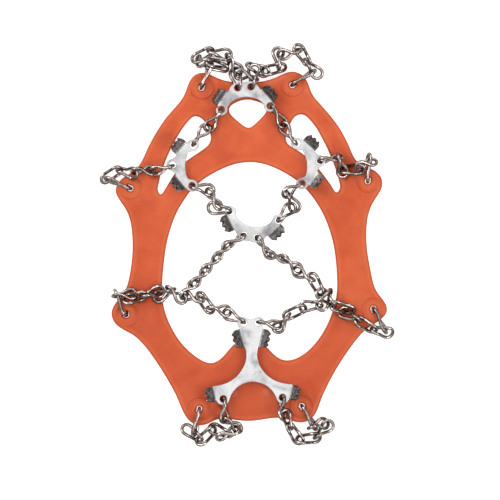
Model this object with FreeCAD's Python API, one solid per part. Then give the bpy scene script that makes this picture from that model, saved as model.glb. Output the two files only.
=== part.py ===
import FreeCAD, Part
import math
import os

# Shoe ice cleats: a stretch harness of soft elastomer that pulls over a shoe,
# five toothed steel plates that bite into ice, and the link chains between
# the plates and the eight ears of the harness. It lies flat, teeth up.
# Units mm. +X is to the right, +Y points to the toe, +Z is the tooth side.
# z = 0 is the underside of the harness web.

V = FreeCAD.Vector

# Cutters run right through every part.
CUTTER_Z = -5.0
CUTTER_H = 25.0

# ---- harness dimensions -------------------------------------------------
WEB_T = 3.0            # web thickness
EAR_LIFT = 2.3         # how far an ear stands above the table so its link clears
EAR_FLAT_R = 9.5       # radius of the flat raised part of an ear
EAR_RAMP_R = 12.9      # radius at which the ramp meets the web
EAR_RECESS_EXTRA = 0.1  # extra top radius of the recess under an ear
EAR_HOLE_R = 2.15      # hole for the end link
RING_R = 6.4           # centre radius of the raised ring round the hole
RING_W = 1.0
RING_H = 0.15
RING_SINK = 0.5        # how deep the ring is rooted in the ear
MARK_R = 1.9           # ejector marks: low discs near the heel
MARK_T = 0.5
MARK_SINK = 0.3

# Closed outlines of the harness: x, y of points on a periodic spline.
OUTLINE = [
    (2.44, 91.81), (8.66, 92.26), (14.77, 93.38), (20.6, 95.56), (26.45, 97.53), (32.25, 96.06),
    (36.04, 91.23), (38.25, 85.41), (41.87, 80.37), (45.95, 75.65), (49.86, 70.8), (53.41, 65.69),
    (56.43, 60.24), (59.07, 54.6), (61.45, 48.85), (65.49, 44.25), (71.07, 41.49), (76.04, 37.87),
    (77.1, 32.07), (74.32, 26.56), (71.03, 21.28), (68.95, 15.43), (67.99, 9.28), (67.68, 3.06),
    (67.96, -3.16), (68.73, -9.34), (69.78, -15.48), (70.9, -21.61), (72.98, -27.44), (76.6, -32.49),
    (78.59, -38.24), (75.13, -43.22), (69.94, -46.64), (64.99, -50.41), (60.78, -55), (56.96, -59.92),
    (53.36, -65.01), (49.95, -70.22), (46.77, -75.57), (43.83, -81.07), (41.1, -86.67), (38.78, -92.45),
    (35.64, -97.77), (30.36, -100.63), (24.28, -99.94), (18.31, -98.23), (12.12, -98.19), (5.94, -99.02),
    (-0.26, -99.54), (-6.47, -99.07), (-12.63, -98.18), (-18.8, -98.4), (-24.55, -100.73), (-30.61, -101.03),
    (-35.43, -97.3), (-38.44, -91.88), (-40.75, -86.1), (-43.46, -80.49), (-46.41, -75.01), (-49.56, -69.63),
    (-52.92, -64.38), (-56.41, -59.23), (-60.31, -54.36), (-64.77, -50.04), (-70.14, -46.88), (-75, -43.1),
    (-77.18, -37.47), (-75.05, -31.8), (-71.02, -27.06), (-68.16, -21.57), (-66.58, -15.55), (-65.51, -9.41),
    (-64.83, -3.22), (-64.64, 3.01), (-64.93, 9.23), (-65.84, 15.39), (-67.98, 21.22), (-71.3, 26.48),
    (-73.58, 32.18), (-70.98, 37.54), (-66, 41.23), (-61.12, 45.08), (-57.76, 50.29), (-55.1, 55.92),
    (-52.15, 61.41), (-48.88, 66.71), (-45.28, 71.79), (-41.22, 76.51), (-37, 81.09), (-33.52, 86.23),
    (-31.26, 92.03), (-27.39, 96.74), (-21.46, 97.64), (-15.8, 95.15), (-9.91, 93.17), (-3.78, 92.1),
]
MAIN_OPENING = [
    (2.44, 46.91), (8.7, 46.21), (14.7, 44.27), (20.38, 41.54), (25.77, 38.28), (30.74, 34.41),
    (35.12, 29.89), (38.89, 24.85), (42.15, 19.46), (44.81, 13.75), (46.94, 7.81), (48.58, 1.73),
    (49.67, -4.47), (50.31, -10.74), (50.68, -17.03), (50.74, -23.33), (50.24, -29.61), (48.78, -35.73),
    (46.67, -41.67), (43.96, -47.36), (40.6, -52.68), (36.62, -57.56), (31.94, -61.75), (26.46, -64.78),
    (20.35, -65.57), (14.88, -62.77), (10.52, -58.23), (5.44, -54.59), (-0.68, -53.48), (-6.73, -54.97),
    (-11.37, -59.18), (-15.64, -63.79), (-21.24, -66.43), (-27.13, -64.53), (-32.23, -60.85), (-36.69, -56.41),
    (-40.48, -51.38), (-43.55, -45.88), (-46.01, -40.08), (-47.64, -34.01), (-48.37, -27.75), (-48.38, -21.45),
    (-47.85, -15.17), (-47.09, -8.92), (-46.22, -2.67), (-44.92, 3.49), (-43.2, 9.55), (-41.02, 15.46),
    (-38.25, 21.12), (-34.82, 26.4), (-31.07, 31.47), (-26.47, 35.76), (-21.27, 39.3), (-15.71, 42.26),
    (-9.91, 44.72), (-3.84, 46.41),
]
SLOT_RIGHT = [
    (32.29, 73.41), (28.54, 72.16), (26.21, 68.89), (24.52, 65.21), (23.21, 61.39), (23.68, 57.53),
    (26.73, 54.98), (30.15, 52.81), (33.4, 50.42), (36.47, 47.78), (39.28, 44.87), (41.97, 41.84),
    (44.45, 38.64), (46.77, 35.33), (48.96, 31.92), (51.38, 28.79), (53.27, 31.22), (52.85, 35.24),
    (51.87, 39.16), (50.74, 43.05), (49.41, 46.87), (47.88, 50.61), (46.34, 54.36), (44.57, 58),
    (42.71, 61.6), (40.81, 65.17), (38.43, 68.44), (35.85, 71.49),
]
SLOT_LEFT = [
    (-27.57, 73.46), (-24.01, 71.87), (-21.72, 68.59), (-20.11, 64.91), (-19.22, 60.99), (-20.54, 57.31),
    (-23.51, 54.74), (-26.85, 52.5), (-30.27, 50.38), (-33.55, 48.08), (-36.66, 45.53), (-39.22, 42.43),
    (-41.52, 39.14), (-43.7, 35.76), (-45.82, 32.35), (-48.5, 29.41), (-49.86, 32.2), (-49.11, 36.15),
    (-48.3, 40.08), (-46.93, 43.86), (-45.55, 47.64), (-43.96, 51.32), (-42.18, 54.93), (-40.4, 58.53),
    (-38.29, 61.95), (-36.14, 65.35), (-33.75, 68.56), (-31.12, 71.61),
]
TOE_WINDOW = [
    (1.57, 82.37), (-1.23, 82), (-3.9, 81.19), (-6.39, 79.91), (-8.39, 77.93), (-8.45, 75.18),
    (-6.78, 72.91), (-4.72, 70.99), (-2.61, 69.12), (-0.4, 67.39), (2.22, 66.41), (4.81, 67.55),
    (6.93, 69.38), (8.99, 71.31), (10.93, 73.35), (12.38, 75.69), (11.77, 78.32), (9.67, 80.21),
    (7.07, 81.27), (4.36, 82),
]

# Centres x, y, left then right.
EARS = [
    (-23.82, 89.51), (27.51, 90.02),      # toe
    (-65.37, 33.54), (69.23, 35.12),      # forefoot
    (-68.63, -38.14), (70.77, -37.50),    # between forefoot and heel
    (-28.87, -91.87), (29.49, -91.77),    # heel
]
EJECTOR_MARKS = [(-8.76, -83.72), (9.67, -83.48)]


def one_solid(shape):
    shape = shape.removeSplitter()
    assert len(shape.Solids) == 1, len(shape.Solids)
    return shape.Solids[0]


def through_hole(radius, x, y):
    return Part.makeCylinder(radius, CUTTER_H, V(x, y, CUTTER_Z))


def prism(points, z, height):
    """Upright prism on a closed spline."""
    curve = Part.BSplineCurve()
    curve.interpolate([V(x, y, 0) for x, y in points], PeriodicFlag=True)
    solid = Part.Face(Part.Wire([curve.toShape()])).extrude(V(0, 0, height))
    solid.translate(V(0, 0, z))
    return solid


def ear_ring(x, y):
    ear_top = WEB_T + EAR_LIFT
    ring = Part.makeCylinder(RING_R + RING_W / 2, RING_H + RING_SINK,
                             V(x, y, ear_top - RING_SINK))
    # The bore starts and ends clear of the ring.
    return ring.cut(Part.makeCylinder(RING_R - RING_W / 2, RING_H + 2, V(x, y, ear_top - 1)))


def build_harness():
    harness = prism(OUTLINE, 0, WEB_T)
    # Ear cones are trimmed to the outline so that they do not overhang it.
    trim = prism(OUTLINE, 0, WEB_T + EAR_LIFT)
    for x, y in EARS:
        cone = Part.makeCone(EAR_RAMP_R, EAR_FLAT_R, EAR_LIFT, V(x, y, WEB_T))
        harness = harness.fuse(cone.common(trim))
    for points in (MAIN_OPENING, SLOT_RIGHT, SLOT_LEFT, TOE_WINDOW):
        harness = harness.cut(prism(points, CUTTER_Z, CUTTER_H))
    for x, y in EARS:
        recess = Part.makeCone(EAR_RAMP_R, EAR_FLAT_R + EAR_RECESS_EXTRA, EAR_LIFT, V(x, y, 0))
        harness = harness.cut(recess)
        harness = harness.fuse(ear_ring(x, y))
        harness = harness.cut(through_hole(EAR_HOLE_R, x, y))
    for x, y in EJECTOR_MARKS:
        harness = harness.fuse(Part.makeCylinder(MARK_R, MARK_T, V(x, y, WEB_T - MARK_SINK)))
    return one_solid(harness)


# ---- toothed plates -----------------------------------------------------
PLATE_T = 1.5          # steel thickness
PLATE_Z = 6.0          # underside of a plate: it rides on the links under it
PLATE_HOLE_R = 1.95    # link holes
TOOTH_H = 8.0          # nominal height of a tooth tip above the plate underside
TOOTH_LEAN = 31.0      # outward lean of a toothed flange, degrees from upright
TIP_TRIM = 0.3         # taken off the slant height of the teeth
ROOT_OFFSET = 0.65     # flange root beyond the bend line

# First half of a flange's toothed edge, mirrored for the rest:
# fraction of the width, fraction of the slant height.
TOOTH_PROFILE = [
    (0.0, 0.0), (0.0, 0.42), (0.035, 0.60), (0.075, 0.66), (0.13, 0.86), (0.19, 0.97),
    (0.24, 0.96), (0.29, 0.80), (0.34, 0.76), (0.38, 0.86), (0.44, 0.98), (0.5, 1.0),
]

MIRROR_X = (-1, 1)     # factors on x, y: swap left and right
MIRROR_Y = (1, -1)     # factors on x, y: swap toe and heel side

# Plate shapes: mirror that makes the second half, first half of the outline,
# hole centres. A half outline runs from one end of the mirror axis to the
# other. A list of two points is a straight bend line that carries a toothed
# flange; a longer list is a spline.
PLATE_SHAPES = {
    # a trapezoid with two ears
    "trapezoid": (MIRROR_X, [
        [(0, 14.2), (2.2, 14.55), (5.4, 14.1), (7.3, 12.5), (8.6, 10.6), (9.4, 9.6)],
        [(9.4, 9.6), (15.4, 1.6)],
        [(15.4, 1.6), (16.8, -0.3), (16.5, -2.2), (14.6, -3.3), (12.2, -3.0),
         (10.6, -1.4), (10.2, 0.8), (8.8, 2.9), (5.0, 5.1), (0, 6.1)],
    ], [(-3.75, 11.5), (3.75, 11.5), (-13.8, 0), (13.8, 0)]),
    # three ears, the outer one at -X
    "forefoot": (MIRROR_Y, [
        [(-4.2, 0), (-3.5, 4.4), (-1.9, 7.6), (0.9, 8.1), (2.9, 9.6),
         (3.3, 12.2), (1.8, 14.3), (-0.9, 14.6), (-3.4, 12.8)],
        [(-3.4, 12.8), (-9.4, 5.8)],
        [(-9.4, 5.8), (-11.2, 3.6), (-13.6, 2.4), (-14.5, 0)],
    ], [(0, 11.4), (-11.2, 0), (0, -11.4)]),
    # an upside-down Y
    "heel": (MIRROR_X, [
        [(0, 2.0), (1.9, 2.5), (3.9, 3.3), (6.1, 2.7), (7.5, 0.6), (7.2, -1.6), (6.4, -3.2)],
        [(6.4, -3.2), (3.9, -13.4)],
        [(3.9, -13.4), (3.2, -16.5), (3.7, -22.0), (6.6, -27.6),
         (12.0, -32.3), (17.2, -34.3), (22.4, -35.2)],
        [(22.4, -35.2), (20.4, -43.4)],
        [(20.4, -43.4), (19.2, -45.2), (17.2, -45.9), (14.6, -45.2), (13.2, -42.6),
         (11.6, -39.4), (8.8, -36.4), (4.8, -34.1), (0, -33.2)],
    ], [(-4.0, 0), (4.0, 0), (-16.7, -42.4), (16.7, -42.4)]),
}

# piece: shape, place of the shape's origin, turn in degrees
PLATES = {
    "toe_plate": ("trapezoid", (0.77, 77.45), 3.31),
    "centre_plate": ("trapezoid", (4.42, 16.28), 168.87),
    "forefoot_plate_left": ("forefoot", (-29.80, 45.44), -2.59),
    "forefoot_plate_right": ("forefoot", (30.60, 45.44), -173.97),
    "heel_plate": ("heel", (1.56, -43.92), 0.36),
}


def mirrored(points, mirror):
    return [(mirror[0] * x, mirror[1] * y) for x, y in points]


def outline_wire(segments):
    edges = []
    for segment in segments:
        points = [V(x, y, 0) for x, y in segment]
        if len(points) == 2:
            edges.append(Part.LineSegment(*points).toShape())
        else:
            curve = Part.BSplineCurve()
            curve.interpolate(points)
            edges.append(curve.toShape())
    return Part.Wire(Part.__sortEdges__(edges))


def flange_parts(bend):
    """Base strip, round root and toothed blade on one bend line, leaning outward."""
    start, end = [V(x, y, 0) for x, y in bend]
    width = (end - start).Length
    along = (end - start).normalize()
    outward = V(along.y, -along.x, 0)
    if outward.dot(start + end) < 0:
        outward = outward * -1

    # The strip's box is mapped onto right-handed axes: long side, outward, up.
    strip_axis, corner = along, start
    if along.cross(outward).z < 0:
        strip_axis, corner = along * -1, start + along * width
    strip = Part.makeBox(width, ROOT_OFFSET + PLATE_T, PLATE_T)
    strip = strip.transformGeometry(FreeCAD.Matrix(
        strip_axis.x, outward.x, 0, 0,
        strip_axis.y, outward.y, 0, 0,
        0, 0, 1, 0,
        0, 0, 0, 1))
    strip.translate(corner + outward * (-PLATE_T) + V(0, 0, PLATE_Z))

    root_start = start + outward * ROOT_OFFSET + V(0, 0, PLATE_Z + PLATE_T / 2)
    root = Part.makeCylinder(PLATE_T / 2, width, root_start, along)

    lean = math.radians(TOOTH_LEAN)
    slope = outward * math.sin(lean) + V(0, 0, math.cos(lean))
    slant_h = (TOOTH_H - PLATE_T / 2) / math.cos(lean) - TIP_TRIM
    profile = [(u * width, v * slant_h) for u, v in TOOTH_PROFILE]
    profile += [(width - u, v) for u, v in reversed(profile[:-1])]
    points = [root_start + along * u + slope * v for u, v in profile]
    normal = along.cross(slope)
    if normal.dot(outward) < 0:
        normal = normal * -1
    face = Part.Face(Part.makePolygon(points + [points[0]]))
    face.translate(normal * (-PLATE_T / 2))
    blade = face.extrude(normal * PLATE_T)
    return strip, root, blade


def build_plate(shape_name, position, turn):
    mirror, half, holes = PLATE_SHAPES[shape_name]
    other_half = [mirrored(reversed(segment), mirror) for segment in reversed(half)]
    plate = Part.Face(outline_wire(half + other_half)).extrude(V(0, 0, PLATE_T))
    plate.translate(V(0, 0, PLATE_Z))
    for segment in half:
        if len(segment) == 2:
            for bend in (segment, mirrored(segment, mirror)):
                for part in flange_parts(bend):
                    plate = plate.fuse(part)
    for x, y in holes:
        plate = plate.cut(through_hole(PLATE_HOLE_R, x, y))
    plate = one_solid(plate)
    plate.rotate(V(0, 0, 0), V(0, 0, 1), turn)
    plate.translate(V(*position, 0))
    return plate


# ---- chain links --------------------------------------------------------
WIRE = 1.90            # wire diameter

# outside length, outside width, twist from end to end in degrees
STD = (15.45, 7.95, 80.0)      # plain link
HOOK = (15.45, 8.35, 50.0)     # link through a plate hole
TIE = (16.75, 8.15, 70.0)      # link between toe plate and forefoot plates
LONG = (17.75, 8.55, 22.0)     # link through a harness ear

# piece: size, centre, turn as a quaternion x, y, z, w for every link in it
LINKS = {
    "toe_left_plate_link": [
        (HOOK, (-3.935, 94.447, 5.628), (0.50029, 0.77194, 0.08153, 0.38363)),
    ],
    "toe_left_chain_1": [
        (STD, (-5.651, 102.679, 3.388), (0.32387, 0.46939, 0.75423, 0.32545)),
        (STD, (-13.483, 108.742, 4.054), (0.01378, 0.25228, 0.96088, 0.11346)),
        (STD, (-23.124, 108.035, 3.650), (-0.09172, -0.10263, 0.96199, -0.23587)),
    ],
    "toe_left_chain_2": [
        (STD, (-23.014, 104.258, 6.902), (0.30254, -0.46191, 0.15897, 0.81844)),
        (STD, (-14.751, 103.096, 7.312), (0.08259, 0.21920, -0.06758, 0.96983)),
        (STD, (-15.276, 101.654, 3.587), (-0.12656, -0.07577, 0.98022, 0.13191)),
    ],
    "toe_left_ear_link": [
        (LONG, (-21.136, 96.183, 4.366), (-0.35523, 0.55170, 0.62809, -0.41825)),
    ],
    "toe_right_plate_link": [
        (HOOK, (5.446, 95.424, 6.300), (0.64947, 0.64239, 0.15043, 0.37802)),
    ],
    "toe_right_chain_1": [
        (STD, (7.781, 99.478, 3.257), (-0.11730, 0.12624, -0.18200, 0.96808)),
        (STD, (17.171, 99.296, 3.066), (0.07792, -0.03643, 0.10676, 0.99056)),
        (STD, (19.762, 105.223, 3.761), (0.59710, 0.71005, 0.10366, 0.35854)),
    ],
    "toe_right_chain_2": [
        (STD, (26.170, 108.176, 3.409), (0.58244, -0.01051, 0.13304, 0.80184)),
        (STD, (33.432, 107.070, 3.063), (0.06778, -0.11261, -0.47237, 0.87154)),
        (STD, (39.022, 99.313, 3.597), (-0.21965, 0.15847, -0.38988, 0.88013)),
    ],
    "toe_right_ear_link": [
        (LONG, (33.589, 93.864, 4.394), (-0.18411, 0.65256, 0.70654, -0.20267)),
    ],
    "forefoot_left_plate_link": [
        (HOOK, (-47.034, 43.749, 7.131), (-0.14651, 0.80081, 0.58022, -0.02416)),
    ],
    "forefoot_left_chain_1": [
        (STD, (-57.401, 42.924, 8.264), (0.12901, 0.62430, 0.76101, -0.12031)),
    ],
    "forefoot_left_chain_2": [
        (STD, (-66.620, 42.505, 5.882), (-0.22581, 0.24954, 0.92004, 0.20067)),
        (STD, (-75.988, 41.253, 3.695), (-0.08444, -0.07087, 0.95402, -0.27874)),
    ],
    "forefoot_left_ear_link": [
        (LONG, (-72.116, 36.161, 4.278), (0.66180, -0.13208, -0.14949, 0.72266)),
    ],
    "forefoot_right_plate_link": [
        (HOOK, (47.889, 47.637, 7.261), (0.72834, 0.05906, 0.03444, 0.68180)),
    ],
    "forefoot_right_chain_1": [
        (STD, (53.586, 43.863, 8.388), (0.74872, -0.46864, -0.36884, 0.28940)),
    ],
    "forefoot_right_chain_2": [
        (STD, (60.402, 41.651, 7.413), (-0.08051, -0.10580, 0.00524, 0.99111)),
        (STD, (67.636, 44.532, 8.581), (-0.69793, 0.02873, 0.21884, 0.68131)),
    ],
    "forefoot_right_ear_link": [
        (LONG, (69.531, 42.356, 4.294), (-0.46496, 0.49480, 0.54068, -0.49663)),
    ],
    "toe_forefoot_left_upper_link": [
        (TIE, (-17.153, 70.924, 6.706), (-0.41545, 0.74293, 0.50204, -0.15299)),
    ],
    "toe_forefoot_left_lower_link": [
        (TIE, (-25.031, 62.462, 6.704), (-0.15273, 0.50215, 0.74348, -0.41442)),
    ],
    "toe_forefoot_right_upper_link": [
        (TIE, (18.839, 72.586, 6.761), (0.75266, -0.35941, -0.32434, 0.44623)),
    ],
    "toe_forefoot_right_lower_link": [
        (TIE, (24.884, 62.294, 6.751), (0.44631, -0.31620, -0.34786, 0.76146)),
    ],
    "forefoot_centre_left_plate_link": [
        (HOOK, (-24.379, 32.322, 6.577), (0.91356, -0.04545, -0.15106, 0.37486)),
    ],
    "forefoot_centre_left_chain": [
        (STD, (-18.097, 26.235, 6.663), (0.62556, -0.34060, -0.34112, 0.61344)),
    ],
    "forefoot_centre_left_centre_link": [
        (HOOK, (-15.050, 20.634, 6.319), (0.30766, -0.15030, -0.04548, 0.93845)),
    ],
    "forefoot_centre_right_plate_link": [
        (HOOK, (26.529, 31.056, 8.356), (-0.16309, 0.82124, 0.49271, -0.23706)),
    ],
    "forefoot_centre_right_chain": [
        (STD, (25.758, 24.352, 6.250), (0.81784, -0.44526, -0.29138, 0.21902)),
    ],
    "forefoot_centre_right_centre_link": [
        (HOOK, (22.302, 17.833, 6.623), (-0.05662, 0.41179, 0.81621, -0.40127)),
    ],
    "centre_side_left_plate_link": [
        (HOOK, (-6.767, 2.368, 7.263), (-0.19704, 0.69698, 0.66733, -0.17340)),
    ],
    "centre_side_left_chain": [
        (STD, (-14.046, -3.265, 6.664), (-0.30190, 0.64452, 0.63856, -0.29273)),
        (STD, (-20.227, -10.165, 6.665), (-0.30355, 0.67027, 0.62969, -0.24917)),
        (STD, (-26.821, -17.548, 6.665), (-0.32410, 0.65350, 0.62384, -0.28056)),
    ],
    "centre_side_right_plate_link": [
        (HOOK, (9.307, -0.885, 7.271), (0.63153, -0.34270, -0.33731, 0.60824)),
    ],
    "centre_side_right_chain": [
        (STD, (16.650, -6.889, 6.663), (0.69522, -0.10439, -0.10034, 0.70407)),
        (STD, (25.248, -11.404, 6.529), (0.81535, -0.21544, -0.25802, 0.47139)),
        (STD, (31.844, -17.489, 6.497), (0.46389, -0.22722, -0.16222, 0.84075)),
        (STD, (38.744, -22.729, 6.250), (0.03888, -0.06815, -0.51604, 0.85296)),
    ],
    "side_ear_left_chain_1": [
        (STD, (-40.339, -26.991, 10.072), (0.14955, 0.55396, 0.75990, 0.30548)),
        (STD, (-46.916, -26.794, 6.236), (-0.26043, 0.89855, 0.34901, 0.05449)),
    ],
    "side_ear_left_chain_2": [
        (STD, (-53.805, -26.119, 6.276), (0.09103, 0.36108, 0.91386, -0.16188)),
        (STD, (-63.505, -28.384, 7.603), (0.02686, -0.01359, 0.99327, -0.11182)),
        (STD, (-69.500, -26.644, 6.961), (0.10566, 0.52462, 0.83607, -0.12081)),
    ],
    "side_ear_left_ear_link": [
        (LONG, (-71.908, -31.306, 4.356), (0.62581, -0.40071, -0.37390, 0.55497)),
    ],
    "side_ear_right_chain_1": [
        (STD, (53.329, -36.349, 7.012), (0.06482, 0.01549, -0.11414, 0.99123)),
        (STD, (57.478, -40.721, 6.995), (0.24626, -0.25625, -0.16797, 0.91950)),
    ],
    "side_ear_right_chain_2": [
        (STD, (66.231, -46.360, 7.466), (0.95256, -0.27703, -0.08993, -0.08831)),
        (STD, (75.559, -50.317, 4.282), (0.96547, -0.06883, -0.21800, 0.12492)),
    ],
    "side_ear_right_ear_link": [
        (LONG, (74.320, -43.850, 4.418), (0.35937, 0.58733, 0.61787, 0.37966)),
    ],
    "side_heel_left_chain_1": [
        (STD, (-31.086, -28.839, 7.220), (0.59920, -0.20074, -0.04668, 0.77362)),
        (STD, (-24.093, -32.171, 6.255), (-0.02016, 0.03296, -0.46622, 0.88383)),
    ],
    "side_heel_left_chain_2": [
        (STD, (-16.236, -36.087, 6.521), (0.85066, -0.03346, -0.15363, 0.50166)),
    ],
    "side_heel_left_heel_link": [
        (HOOK, (-7.846, -40.480, 6.665), (0.38029, -0.20017, -0.16205, 0.88828)),
    ],
    "side_heel_right_chain_1": [
        (STD, (43.696, -31.578, 9.043), (0.23893, -0.13113, 0.85687, -0.43759)),
        (STD, (35.439, -34.756, 7.780), (-0.21516, -0.12367, 0.96521, -0.08231)),
    ],
    "side_heel_right_chain_2": [
        (STD, (26.304, -38.316, 6.268), (0.00449, 0.01146, 0.97892, -0.20387)),
        (STD, (19.317, -44.117, 6.379), (-0.42395, 0.78807, 0.44168, -0.06423)),
    ],
    "side_heel_right_heel_link": [
        (HOOK, (11.814, -44.483, 7.165), (0.09548, 0.58869, 0.80217, 0.02912)),
    ],
    "heel_left_plate_link": [
        (HOOK, (-14.502, -92.996, 7.214), (0.56339, -0.54014, -0.47140, 0.41064)),
    ],
    "heel_left_chain_1": [
        (STD, (-10.168, -101.139, 4.310), (0.75024, -0.14019, -0.30495, 0.56964)),
        (STD, (-12.683, -106.151, 5.780), (-0.12721, 0.68853, 0.69185, -0.17630)),
    ],
    "heel_left_chain_2": [
        (STD, (-16.713, -104.971, 3.035), (-0.08698, -0.10343, 0.97562, 0.17294)),
        (STD, (-24.835, -107.425, 4.052), (0.10948, 0.02498, 0.92949, -0.35134)),
        (STD, (-32.662, -106.031, 3.068), (-0.08091, -0.06910, 0.94097, 0.32132)),
    ],
    "heel_left_ear_link": [
        (LONG, (-30.131, -99.360, 4.331), (0.51232, 0.40157, 0.47730, 0.59030)),
    ],
    "heel_right_plate_link": [
        (HOOK, (18.375, -92.098, 9.310), (0.41023, -0.62000, -0.36484, 0.56053)),
    ],
    "heel_right_chain_1": [
        (STD, (20.734, -98.838, 5.933), (0.31937, 0.10477, -0.59971, 0.72621)),
        (STD, (25.054, -107.085, 3.070), (-0.05794, 0.09773, -0.47148, 0.87453)),
    ],
    "heel_right_chain_2": [
        (STD, (32.963, -110.061, 3.074), (-0.08700, 0.04743, 0.04324, 0.99414)),
        (STD, (41.206, -105.345, 3.917), (-0.33959, -0.10179, 0.33452, 0.87316)),
        (STD, (38.621, -102.290, 5.167), (0.21076, 0.47842, 0.81768, -0.24105)),
    ],
    "heel_right_ear_link": [
        (LONG, (33.288, -97.906, 4.368), (0.33509, 0.57453, 0.64969, 0.36816)),
    ],
    "toe_bridge_link": [
        (STD, (1.513, 95.343, 4.930), (0.56812, 0.02777, -0.18141, 0.80222)),
    ],
    "side_ring_left": [
        (STD, (-33.222, -24.281, 7.677), (-0.17001, 0.65323, 0.62326, -0.39488)),
    ],
    "side_ring_right": [
        (STD, (44.368, -30.919, 6.879), (0.21135, -0.11459, -0.36535, 0.89929)),
    ],
}


def wire_circle(x, y, z):
    """Cross-section of the wire, facing along X."""
    return Part.Wire([Part.makeCircle(WIRE / 2, V(x, y, z), V(1, 0, 0))])


def build_link(length, width, twist):
    """Link along X, centred on the origin: two half-round bows and two twisted sides."""
    bow_r = (width - WIRE) / 2
    bow_x = (length - WIRE) / 2 - bow_r
    half_twist = math.radians(twist) / 2
    parts = []
    for sign in (1, -1):
        disc = Part.Face(wire_circle(sign * bow_x, bow_r, 0))
        bow = disc.revolve(V(sign * bow_x, 0, 0), V(0, 0, 1), -180 * sign)
        bow.rotate(V(0, 0, 0), V(1, 0, 0), sign * math.degrees(half_twist))
        parts.append(bow)
    for side in (0, math.pi):
        y0 = bow_r * math.cos(side - half_twist)
        z0 = bow_r * math.sin(side - half_twist)
        y1 = bow_r * math.cos(side + half_twist)
        z1 = bow_r * math.sin(side + half_twist)
        curve = Part.BezierCurve()
        curve.setPoles([V(-bow_x, y0, z0), V(-bow_x / 3, y0, z0),
                        V(bow_x / 3, y1, z1), V(bow_x, y1, z1)])
        path = Part.Wire([curve.toShape()])
        parts.append(path.makePipeShell([wire_circle(-bow_x, y0, z0)], True, False))
    link = parts[0].multiFuse(parts[1:])
    assert len(link.Solids) == 1 and link.Solids[0].isValid()
    return link.Solids[0]


def build_chain(rows, masters):
    links = []
    for size, centre, quaternion in rows:
        link = masters[size].copy()
        place = FreeCAD.Placement(V(*centre), FreeCAD.Rotation(*quaternion))
        link.Placement = place.multiply(link.Placement)
        links.append(link)
    return links[0] if len(links) == 1 else Part.makeCompound(links)


def main():
    os.makedirs("parts", exist_ok=True)
    pieces = {"harness": build_harness()}
    for name, plate in PLATES.items():
        pieces[name] = build_plate(*plate)
    masters = {size: build_link(*size) for size in (STD, HOOK, TIE, LONG)}
    for name, rows in LINKS.items():
        pieces[name] = build_chain(rows, masters)
    for name, shape in pieces.items():
        assert shape.isValid(), name
        shape.exportStep("parts/%s.step" % name)


main()
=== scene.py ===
# A soft orange rubber harness with steel plates and wire chains, lying flat on a pale floor.
# Metres, +Z up: the heel is toward -Y and the toe toward +Y.
import bpy, math
import numpy as np
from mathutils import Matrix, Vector
from mathutils.kdtree import KDTree


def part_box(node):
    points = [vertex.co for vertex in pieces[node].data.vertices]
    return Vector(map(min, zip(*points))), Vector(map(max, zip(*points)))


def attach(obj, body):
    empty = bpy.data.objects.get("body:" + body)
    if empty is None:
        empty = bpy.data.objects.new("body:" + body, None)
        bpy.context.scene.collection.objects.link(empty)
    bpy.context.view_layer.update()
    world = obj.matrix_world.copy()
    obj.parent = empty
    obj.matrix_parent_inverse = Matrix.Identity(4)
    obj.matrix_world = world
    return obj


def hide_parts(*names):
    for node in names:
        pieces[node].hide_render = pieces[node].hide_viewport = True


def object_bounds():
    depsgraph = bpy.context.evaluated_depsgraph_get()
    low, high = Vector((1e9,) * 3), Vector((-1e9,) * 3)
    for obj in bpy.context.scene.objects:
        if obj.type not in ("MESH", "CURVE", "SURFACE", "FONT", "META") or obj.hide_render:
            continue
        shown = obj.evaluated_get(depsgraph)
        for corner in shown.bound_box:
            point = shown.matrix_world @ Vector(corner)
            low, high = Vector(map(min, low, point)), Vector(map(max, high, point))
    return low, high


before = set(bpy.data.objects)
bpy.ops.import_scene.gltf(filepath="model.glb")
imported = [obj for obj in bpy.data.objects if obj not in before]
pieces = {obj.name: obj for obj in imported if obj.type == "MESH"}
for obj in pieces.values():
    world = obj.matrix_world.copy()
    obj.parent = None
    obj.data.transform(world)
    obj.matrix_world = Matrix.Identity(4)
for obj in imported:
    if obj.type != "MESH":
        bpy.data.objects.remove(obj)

cad_low, cad_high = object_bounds()
scene = bpy.context.scene
plates = [n for n in pieces if n.endswith("_plate") or n.startswith("forefoot_plate")]
chain = [n for n in pieces if n != "harness" and n not in plates]

# Harness sizes
WEB_TOP = 0.003                # top of the flat web
EAR_RISE = 0.0023              # height of the ear rims above the web
EAR_TOP = WEB_TOP + EAR_RISE
RING_RADIUS = 0.0064           # moulded ring round each ear hole
RING_HALF_WIDTH = 0.0008
HOLE_RADIUS = 0.00215
SPOTS = ((-0.00876, -0.08372), (0.00967, -0.08348))    # pale spots at the heel: x, y
SPOT_RADIUS = 0.0021


# ---------------------------------------------------------------- node helpers
def set_inputs(tree, node, values):
    """Link or set each input, by name or index; colours are given without alpha."""
    for key, value in values.items():
        socket = node.inputs[key]
        if isinstance(value, bpy.types.NodeSocket):
            tree.links.new(value, socket)
        elif socket.type == "RGBA":
            socket.default_value = (*value, 1)
        else:
            socket.default_value = value


def add(tree, kind, inputs=None, **settings):
    node = tree.nodes.new("ShaderNode" + kind)
    for name, value in settings.items():
        setattr(node, name, value)
    set_inputs(tree, node, inputs or {})
    return node


def new_material(name):
    material = bpy.data.materials.new(name)
    material.use_nodes = True
    tree = material.node_tree
    tree.nodes.clear()
    output = add(tree, "OutputMaterial")
    shader = add(tree, "BsdfPrincipled")
    set_inputs(tree, output, {0: shader.outputs[0]})
    return material, tree, shader, output


def object_place(tree):
    return add(tree, "TexCoord").outputs["Object"]


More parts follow.
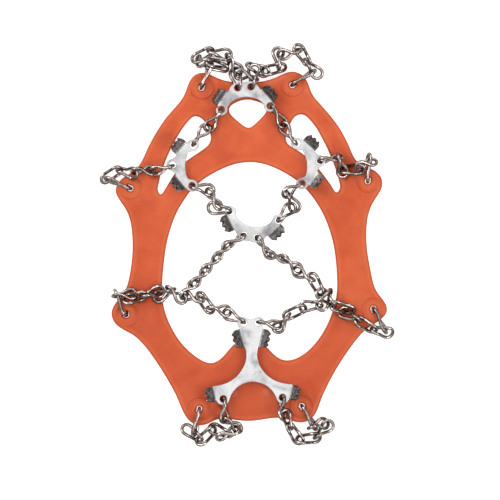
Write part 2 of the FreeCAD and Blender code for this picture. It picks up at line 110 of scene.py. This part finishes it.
def ramp(tree, factor, *stops):
    """Colour ramp; a stop is (position, colour), and a plain number is a grey."""
    node = add(tree, "ValToRGB", {0: factor})
    elements = node.color_ramp.elements
    while len(elements) < len(stops):
        elements.new(0.5)
    for element, (position, colour) in zip(elements, stops):
        if not isinstance(colour, tuple):
            colour = (colour,) * 3
        element.position = position
        element.color = (*colour, 1)
    return node.outputs[0]


def noise(tree, place, scale, detail, roughness, distortion=0.0):
    return add(tree, "TexNoise", {
        "Vector": place, "Scale": scale, "Detail": detail,
        "Roughness": roughness, "Distortion": distortion}).outputs[0]


def bump(tree, height, strength, distance, normal=None):
    inputs = {"Height": height, "Strength": strength, "Distance": distance}
    if normal is not None:
        inputs["Normal"] = normal
    return add(tree, "Bump", inputs).outputs[0]


def maths(tree, operation, *values, clamp=False):
    inputs = dict(enumerate(values))
    return add(tree, "Math", inputs, operation=operation, use_clamp=clamp).outputs[0]


def mix(tree, factor, first, second, mode="MIX"):
    return add(tree, "Mix", {"Factor": factor, 6: first, 7: second},
               data_type="RGBA", blend_type=mode).outputs[2]


def bevel(tree, radius):
    return add(tree, "Bevel", {"Radius": radius}, samples=6).outputs[0]


def srgb(*channels):
    def linear(c):
        return (c / 255 / 12.92) if c / 255 <= 0.04045 else ((c / 255 + 0.055) / 1.055) ** 2.4
    return tuple(linear(c) for c in channels)


def marks(tree, place, centres, half_width, ring_radius=None):
    """1 at each centre (or on a ring round it), falling to 0 over half_width, seen from above."""
    strongest = None
    for x, y in centres:
        offset = add(tree, "VectorMath", {0: place, 1: (x, y, 0)}, operation="SUBTRACT")
        flat = add(tree, "VectorMath", {0: offset.outputs[0], 1: (1, 1, 0)},
                   operation="MULTIPLY")
        length = add(tree, "VectorMath", {0: flat.outputs[0]}, operation="LENGTH")
        away = length.outputs["Value"]
        if ring_radius is not None:
            away = maths(tree, "ABSOLUTE", maths(tree, "SUBTRACT", away, ring_radius))
        away = maths(tree, "DIVIDE", away, half_width)
        mark = maths(tree, "SUBTRACT", 1.0, away, clamp=True)
        strongest = mark if strongest is None else maths(tree, "MAXIMUM", strongest, mark)
    return strongest


# ------------------------------------------------------------------- materials
def harness_material(ears):
    material, tree, shader, _ = new_material("soft_orange_elastomer")
    place = object_place(tree)
    broad = noise(tree, place, scale=22, detail=2, roughness=0.5)
    cloudy = noise(tree, place, scale=90, detail=4, roughness=0.6, distortion=0.3)
    fine = noise(tree, place, scale=900, detail=3, roughness=0.6)
    broad_colour = ramp(tree, broad, (0.30, srgb(206, 84, 40)), (0.55, srgb(218, 96, 50)),
                        (0.75, srgb(228, 110, 62)))
    cloudy_colour = ramp(tree, cloudy, (0.35, srgb(204, 82, 44)), (0.65, srgb(230, 110, 66)))
    colour = mix(tree, 0.45, broad_colour, cloudy_colour)

    # toward the heel the rubber is a deeper red-orange
    along = add(tree, "SeparateXYZ", {0: place}).outputs[1]
    heelward = add(tree, "MapRange", {
        "Value": along, "From Min": -0.095, "From Max": 0.085,
        "To Min": 1.0, "To Max": 0.0}).outputs[0]
    colour = mix(tree, 1.0, colour, (1.10, 1.14, 1.10), "MULTIPLY")
    deeper = mix(tree, 0.42, colour, srgb(196, 74, 36))
    colour = mix(tree, heelward, colour, deeper)

    # moulded rings round the ear holes
    rings = marks(tree, place, ears, RING_HALF_WIDTH, RING_RADIUS)
    rings = add(tree, "MapRange", {"Value": rings}, interpolation_type="SMOOTHSTEP").outputs[0]
    normal = bump(tree, rings, strength=0.55, distance=0.00035)
    normal = bump(tree, cloudy, strength=0.25, distance=0.0006, normal=normal)
    normal = bump(tree, fine, strength=0.10, distance=0.00012, normal=normal)
    ring_tint = maths(tree, "MULTIPLY", rings, 0.30)
    colour = mix(tree, ring_tint, colour, srgb(165, 58, 34))

    # painted shade as a dark rim along the moulded edge, then a painted highlight as a lighter
    # band inside it; stops span 4 mm
    edge = add(tree, "Attribute", attribute_name="edge_mm").outputs["Fac"]
    painted_edge_shade_and_highlight = (
        (((0.0, 0.95), (0.09, 0.80), (0.20, 0.18), (0.55, 0.0)), srgb(186, 74, 36)),
        (((0.16, 0.0), (0.30, 0.45), (0.80, 0.0)), srgb(236, 128, 78)),
    )
    for stops, painted_edge_colour in painted_edge_shade_and_highlight:
        painted_band = ramp(tree, maths(tree, "DIVIDE", edge, 4.0), *stops)
        colour = mix(tree, painted_band, colour, painted_edge_colour)

    spots = marks(tree, place, SPOTS, SPOT_RADIUS)
    spots = ramp(tree, spots, (0.0, 0), (0.06, 0.75), (0.18, 0.35), (1.0, 0.5))
    colour = mix(tree, spots, colour, srgb(214, 128, 104))

    set_inputs(tree, shader, {
        "Base Color": colour,
        "Roughness": ramp(tree, cloudy, (0.3, 0.36), (0.7, 0.5)),
        "Subsurface Weight": 0.35,
        "Subsurface Radius": (1.0, 0.30, 0.10),
        "Subsurface Scale": 0.0035,
        "IOR": 1.47,
        "Specular IOR Level": 0.38,
        "Normal": normal,
    })
    return material


def plate_material():
    material, tree, shader, _ = new_material("tumbled_stainless_plate")
    place = object_place(tree)
    blotches = noise(tree, place, scale=110, detail=5, roughness=0.62, distortion=0.4)
    fine = noise(tree, place, scale=1400, detail=3, roughness=0.6)
    stretched = add(tree, "Mapping", {
        "Vector": place, "Rotation": (0, 0, 0.5), "Scale": (1, 14, 1)}).outputs[0]
    scratches = noise(tree, stretched, scale=260, detail=3, roughness=0.5)
    bright = ramp(tree, blotches, (0.28, (0.40, 0.40, 0.42)), (0.42, (0.72, 0.72, 0.73)),
                  (0.52, 0.93), (0.70, 1.0))

    # the flanges stand above the plate and are rougher metal; their colour is painted dark as
    # painted shade, with lighter streaks as painted highlights
    height = add(tree, "SeparateXYZ", {0: place}).outputs[2]
    flange = add(tree, "MapRange", {
        "Value": height, "From Min": 0.0080, "From Max": 0.0088}).outputs[0]
    mottle = noise(tree, place, scale=420, detail=4, roughness=0.7, distortion=0.6)
    painted_flange_shade_and_glints = ramp(tree, mottle, (0.3, (0.045, 0.038, 0.034)), (0.52, (0.17, 0.155, 0.15)),
                (0.70, (0.60, 0.58, 0.57)))

    # broad grey patches: painted reflections of the stamped bends
    broad = noise(tree, place, scale=38, detail=3, roughness=0.55, distortion=0.3)
    painted_reflection_patches = ramp(tree, broad, (0.36, (0.44, 0.43, 0.44)), (0.52, 1.0))
    colour = mix(tree, 0.8, bright, painted_reflection_patches, "MULTIPLY")

    # painted shade darkens the edges, where the bevelled normal leaves the true one
    true_normal = add(tree, "NewGeometry").outputs["True Normal"]
    agreement = add(tree, "VectorMath", {0: bevel(tree, radius=0.0007), 1: true_normal},
                    operation="DOT_PRODUCT").outputs["Value"]
    painted_edge_shade = ramp(tree, agreement, (0.86, (0.30, 0.27, 0.26)), (0.985, 1.0))
    colour = mix(tree, 0.85, colour, painted_edge_shade, "MULTIPLY")
    # the flanges take the painted shade and painted streak highlights
    colour = mix(tree, flange, colour, painted_flange_shade_and_glints)

    roughness = ramp(tree, blotches, (0.3, 0.34), (0.7, 0.20))
    roughness = mix(tree, flange, roughness, (0.38, 0.38, 0.38))

    normal = bevel(tree, radius=0.0006)
    normal = bump(tree, blotches, strength=0.55, distance=0.0007, normal=normal)
    normal = bump(tree, scratches, strength=0.10, distance=0.00008, normal=normal)
    pitting = noise(tree, place, scale=380, detail=4, roughness=0.7, distortion=0.6)
    pitting = maths(tree, "MULTIPLY", pitting, flange)
    normal = bump(tree, pitting, strength=0.9, distance=0.0009, normal=normal)
    normal = bump(tree, fine, strength=0.08, distance=0.00005, normal=normal)

    set_inputs(tree, shader, {
        "Base Color": colour, "Metallic": 1.0, "Roughness": roughness, "Normal": normal})
    return material


def chain_material():
    material, tree, shader, _ = new_material("drawn_wire_chain")
    place = object_place(tree)
    blotches = noise(tree, place, scale=300, detail=4, roughness=0.6, distortion=0.3)
    fine = noise(tree, place, scale=2600, detail=3, roughness=0.6)
    colour = ramp(tree, blotches, (0.30, (0.17, 0.135, 0.12)), (0.50, (0.34, 0.295, 0.27)),
                  (0.68, (0.66, 0.61, 0.58)))

    # painted shade where the links cross, from ambient occlusion
    openness = add(tree, "AmbientOcclusion", {"Distance": 0.0035}, samples=8).outputs["AO"]
    painted_crossing_shade = ramp(tree, openness, (0.25, (0.30, 0.25, 0.22)), (0.75, 1))
    colour = mix(tree, 1.0, colour, painted_crossing_shade, "MULTIPLY")

    # painted highlight where the wire faces the view, and painted shade as it turns away from the
    # view
    facing = add(tree, "LayerWeight", {"Blend": 0.5}).outputs["Facing"]
    painted_highlight_and_shade = ramp(tree, facing, (0.10, (1.45, 1.43, 1.42)), (0.42, (0.50, 0.44, 0.41)),
                 (0.78, (0.12, 0.095, 0.082)))
    colour = mix(tree, 1.0, colour, painted_highlight_and_shade, "MULTIPLY")

    normal = bump(tree, blotches, strength=0.09, distance=0.0003)
    normal = bump(tree, fine, strength=0.05, distance=0.00004, normal=normal)
    set_inputs(tree, shader, {
        "Base Color": colour,
        "Metallic": 1.0,
        "Roughness": ramp(tree, blotches, (0.3, 0.32), (0.7, 0.16)),
        "Normal": normal,
    })
    return material


def floor_material():
    """Matt white with a glow of its own."""
    material, tree, shader, output = new_material("pale_floor")
    set_inputs(tree, shader, {
        "Base Color": (0.80, 0.80, 0.80), "Roughness": 0.9, "Specular IOR Level": 0.1})
    glow = add(tree, "Emission", {"Color": (1, 1, 1), "Strength": 0.75})
    both = add(tree, "AddShader", {0: shader.outputs[0], 1: glow.outputs[0]})
    set_inputs(tree, output, {0: both.outputs[0]})
    return material


# ------------------------------------------------------------ measuring the CAD
def read_vectors(mesh, field):
    values = np.zeros(len(mesh.vertices) * 3)
    mesh.vertices.foreach_get(field, values)
    return values.reshape(-1, 3)


def world_points(name):
    matrix = np.array(pieces[name].matrix_world)
    return read_vectors(pieces[name].data, "co") @ matrix[:3, :3].T + matrix[:3, 3]


def smoothstep(t):
    t = np.clip(t, 0, 1)
    return t * t * (3 - 2 * t)


def find_ears():
    """Centres of the ear rings, which are the highest part of the CAD harness."""
    same_level = 0.0001     # depth below the top that still counts as a ring
    reach = 0.0145          # points this near belong to the same ring
    spacing = 0.012         # points this near a found centre are used up
    points = read_vectors(pieces["harness"].data, "co")
    rings = points[points[:, 2] > points[:, 2].max() - same_level][:, :2]
    centres = []
    left = rings.copy()
    while len(left) and len(centres) < 12:
        centre = left[0]
        for _ in range(6):
            near = rings[np.hypot(*(rings - centre).T) < reach]
            centre = (near.min(0) + near.max(0)) / 2
        centres.append(tuple(float(v) for v in centre))
        left = left[np.hypot(*(left - centre).T) > spacing]
    return centres


def nearest_ear_link(x, y):
    """Name of the ear link nearest to an ear, and the unit direction toward it."""
    def offset(name):
        low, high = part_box(name)
        return (low[0] + high[0]) / 2 - x, (low[1] + high[1]) / 2 - y

    links = [n for n in chain if n.endswith("_ear_link")]
    link = min(links, key=lambda n: math.hypot(*offset(n)))
    dx, dy = offset(link)
    away = math.hypot(dx, dy)
    return link, dx / away, dy / away


def steel_height():
    """A function of x, y giving the lowest steel above that spot of the web."""
    step = 0.0006
    lowest_counted = 0.0029    # steel below this is beside or under the web
    no_steel = 1.0
    shape = [int((cad_high[i] - cad_low[i]) / step) + 4 for i in (0, 1)]
    grid = np.full(shape, no_steel)

    def cell(x, y):
        return tuple(np.clip(((v - cad_low[i]) / step).astype(int) + 1, 0, shape[i] - 1)
                     for i, v in enumerate((x, y)))

    for name in chain + plates:
        points = world_points(name)
        points = points[points[:, 2] > lowest_counted]
        np.minimum.at(grid, cell(points[:, 0], points[:, 1]), points[:, 2])
    # spread each height to the neighbouring cells, twice
    for _ in range(2):
        spread = grid.copy()
        spread[1:] = np.minimum(spread[1:], grid[:-1])
        spread[:-1] = np.minimum(spread[:-1], grid[1:])
        spread[:, 1:] = np.minimum(spread[:, 1:], grid[:, :-1])
        spread[:, :-1] = np.minimum(spread[:, :-1], grid[:, 1:])
        grid = spread
    return lambda x, y: grid[cell(x, y)]


# ---------------------------------------------------------------- soft harness
def remeshed_harness():
    """A copy of the CAD harness with an even, softened mesh."""
    soft = pieces["harness"].copy()
    soft.data = soft.data.copy()
    soft.parent = None
    soft.name = "harness_soft"
    for key in list(soft.keys()):
        if key.startswith("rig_"):
            del soft[key]
    soft.hide_render = False
    soft.hide_viewport = False
    scene.collection.objects.link(soft)
    soft.data.materials.clear()
    remesh = soft.modifiers.new("remesh", "REMESH")
    remesh.mode = "VOXEL"
    remesh.voxel_size = 0.00048
    remesh.adaptivity = 0.0
    smooth = soft.modifiers.new("smooth", "SMOOTH")
    smooth.factor = 0.6
    smooth.iterations = 5
    depsgraph = bpy.context.evaluated_depsgraph_get()
    depsgraph.update()
    mesh = bpy.data.meshes.new_from_object(soft.evaluated_get(depsgraph))
    soft.modifiers.clear()
    cad_copy = soft.data
    soft.data = mesh
    bpy.data.meshes.remove(cad_copy)
    mesh.name = "harness_soft"
    return soft


def ease_ear_slopes(points, ears, ear_links):
    """Turn the sharp cone of each ear into a long easy slope, except toward its link.

    The ear link passes under the rim on that side, and the rubber stays under all steel."""
    slope_start, slope_length = 0.0062, 0.0140     # the soft slope, outward from the centre
    cone_foot, cone_length = 0.0129, 0.0034        # the hard cone, inward from its foot
    reach = 0.0205
    steel_gap = 0.00025
    above = steel_height()
    x, y, z = points.T
    for (ear_x, ear_y), (_, link_x, link_y) in zip(ears, ear_links):
        dx, dy = x - ear_x, y - ear_y
        away = np.hypot(dx, dy) + 1e-9
        toward_link = (dx * link_x + dy * link_y) / away
        weight = smoothstep((0.45 - toward_link) / 0.6)
        soft = EAR_RISE * (1 - smoothstep((away - slope_start) / slope_length))
        hard = EAR_RISE * np.clip((cone_foot - away) / cone_length, 0, 1)
        room = np.maximum(above(x, y) - steel_gap - (WEB_TOP + hard), 0.0)
        shift = np.minimum((soft - hard) * weight, room)
        z = z + np.where(away < reach, shift, 0.0)
    points[:, 2] = z


def add_waviness(points):
    """Slight waviness of a soft moulding; the underside stays flat."""
    x, y, z = points.T
    wave = (0.00016 * np.sin(x * 95 + 1.3) * np.cos(y * 70 + 0.4)
            + 0.00010 * np.sin(y * 190 + x * 120))
    points[:, 2] = np.maximum(z + wave * np.clip(z / WEB_TOP, 0, 1), 0.0)


def close_ear_holes(points, ears, ear_links):
    """Draw the rubber in round the wire that passes through each ear hole."""
    moved_radius = 0.0046      # rubber inside this circle moves
    wire_radius = 0.0030       # wire is looked for inside this circle
    wire_below, wire_above = 0.0036, 0.0003        # and between these levels round EAR_TOP
    wire_gap = 0.00034
    angles = np.linspace(-math.pi, math.pi, 73)
    for (ear_x, ear_y), (link, _, _) in zip(ears, ear_links):
        wire = world_points(link)
        inside = ((wire[:, 2] > EAR_TOP - wire_below) & (wire[:, 2] < EAR_TOP + wire_above)
                  & (np.hypot(wire[:, 0] - ear_x, wire[:, 1] - ear_y) < wire_radius))
        wire = wire[inside][:, :2]
        if len(wire) < 8:
            continue
        middle = (wire.min(0) + wire.max(0)) / 2
        near = np.hypot(points[:, 0] - ear_x, points[:, 1] - ear_y) < moved_radius
        dx, dy = points[near, 0] - middle[0], points[near, 1] - middle[1]
        away = np.hypot(dx, dy)
        angle = np.arctan2(dy, dx)
        ray_x, ray_y = np.cos(angle), np.sin(angle)

        # how far the wire reaches in every direction from its middle
        extents = np.array([((wire - middle) @ np.array([math.cos(t), math.sin(t)])).max()
                            for t in angles])
        new_hole = np.interp(angle, angles, extents) + wire_gap

        # distance along each ray from the wire's middle to a circle round the ear
        off_x, off_y = middle[0] - ear_x, middle[1] - ear_y
        along = off_x * ray_x + off_y * ray_y

        def to_circle(radius):
            square = along * along - (off_x * off_x + off_y * off_y) + radius ** 2
            return -along + np.sqrt(np.maximum(square, 1e-12))

        hole, outer = to_circle(HOLE_RADIUS), to_circle(moved_radius)
        new_hole = np.minimum(new_hole, hole)
        part = np.clip((away - hole) / (outer - hole), 0, 1)
        moved = new_hole + (outer - new_hole) * part
        moved = np.where(away < hole, away * new_hole / hole, moved)
        points[near, 0] = middle[0] + ray_x * moved
        points[near, 1] = middle[1] + ray_y * moved


def store_edge_distance(mesh, points):
    """Attribute edge_mm: how far each upward spot is from the moulded edge, up to 6 mm."""
    farthest = 0.006
    up = read_vectors(mesh, "normal")[:, 2]
    walls = np.nonzero(np.abs(up) < 0.55)[0][::2]
    tree = KDTree(len(walls))
    for i in walls:
        tree.insert((points[i, 0], points[i, 1], 0.0), int(i))
    tree.balance()
    distance = np.zeros(len(points))
    for i in range(len(points)):
        if up[i] > 0.2:
            distance[i] = min(tree.find((points[i, 0], points[i, 1], 0.0))[2], farthest)
    attribute = mesh.attributes.new("edge_mm", "FLOAT", "POINT")
    attribute.data.foreach_set("value", (distance * 1000).astype(np.float32))


def shade_smooth(mesh):
    for polygon in mesh.polygons:
        polygon.use_smooth = True


def make_harness(ears):
    ear_links = [nearest_ear_link(x, y) for x, y in ears]
    soft = remeshed_harness()
    mesh = soft.data
    points = read_vectors(mesh, "co")
    ease_ear_slopes(points, ears, ear_links)
    add_waviness(points)
    close_ear_holes(points, ears, ear_links)
    mesh.vertices.foreach_set("co", points.reshape(-1))
    mesh.update()
    shade_smooth(mesh)
    store_edge_distance(mesh, points)
    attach(soft, "harness")
    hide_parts("harness")
    return soft


def dress(names, material):
    for name in names:
        materials = pieces[name].data.materials
        materials.clear()
        materials.append(material)


ears = find_ears()
rubber = harness_material(ears)
make_harness(ears).data.materials.append(rubber)
dress(plates, plate_material())
dress(chain, chain_material())
for name in chain:
    shade_smooth(pieces[name].data)


# ------------------------------------------------------------------- the stage
def make_floor():
    half, level = 3.0, -0.0002
    corners = [(x * half, y * half, level) for x, y in ((-1, -1), (1, -1), (1, 1), (-1, 1))]
    mesh = bpy.data.meshes.new("floor")
    mesh.from_pydata(corners, [], [(0, 1, 2, 3)])
    floor = bpy.data.objects.new("floor", mesh)
    scene.collection.objects.link(floor)
    mesh.materials.append(floor_material())


def make_softbox(name, place, width, height, power):
    """A rectangular light aimed at the origin."""
    light = bpy.data.lights.new(name, "AREA")
    light.shape = "RECTANGLE"
    light.size, light.size_y = width, height
    light.energy = power
    softbox = bpy.data.objects.new(name, light)
    softbox.location = place
    softbox.rotation_euler = (-Vector(place)).to_track_quat("-Z", "Y").to_euler()
    scene.collection.objects.link(softbox)


def make_world():
    """Grey surroundings, brightest overhead."""
    world = bpy.data.worlds.new("studio")
    scene.world = world
    world.use_nodes = True
    tree = world.node_tree
    tree.nodes.clear()
    up = add(tree, "SeparateXYZ", {0: add(tree, "TexCoord").outputs["Generated"]}).outputs[2]
    sky = ramp(tree, up, (0.0, (0.14, 0.14, 0.145)), (0.30, (0.16, 0.16, 0.165)),
               (0.72, 0.50), (1.0, 1.02))
    background = add(tree, "Background", {"Color": sky, "Strength": 0.9})
    add(tree, "OutputWorld", {0: background.outputs[0]})


def make_camera():
    """Looks straight down on the harness."""
    distance = 1.25
    view_width = 0.2835    # width of the view at z = 0
    camera = bpy.data.cameras.new("camera")
    camera.sensor_fit = "HORIZONTAL"
    camera.sensor_width = 36.0
    camera.lens = 36.0 * distance / view_width
    camera.clip_start = 0.01
    holder = bpy.data.objects.new("camera", camera)
    holder.location = (0.00175, -0.00281, distance)
    holder.rotation_euler = (0, 0, math.radians(-1.02))
    scene.collection.objects.link(holder)
    scene.camera = holder


view = scene.view_settings
view.view_transform = "Standard"
view.look = "None"
view.exposure = 0.0
view.gamma = 1.0
make_floor()
make_softbox("softbox_left", (-0.95, 0.60, 1.05), width=0.6, height=0.9, power=8.0)
make_softbox("softbox_right", (0.95, -0.45, 1.10), width=0.5, height=0.7, power=6.0)
make_softbox("softbox_toe", (0.10, 1.30, 0.75), width=0.9, height=0.35, power=3.5)
make_world()
make_camera()
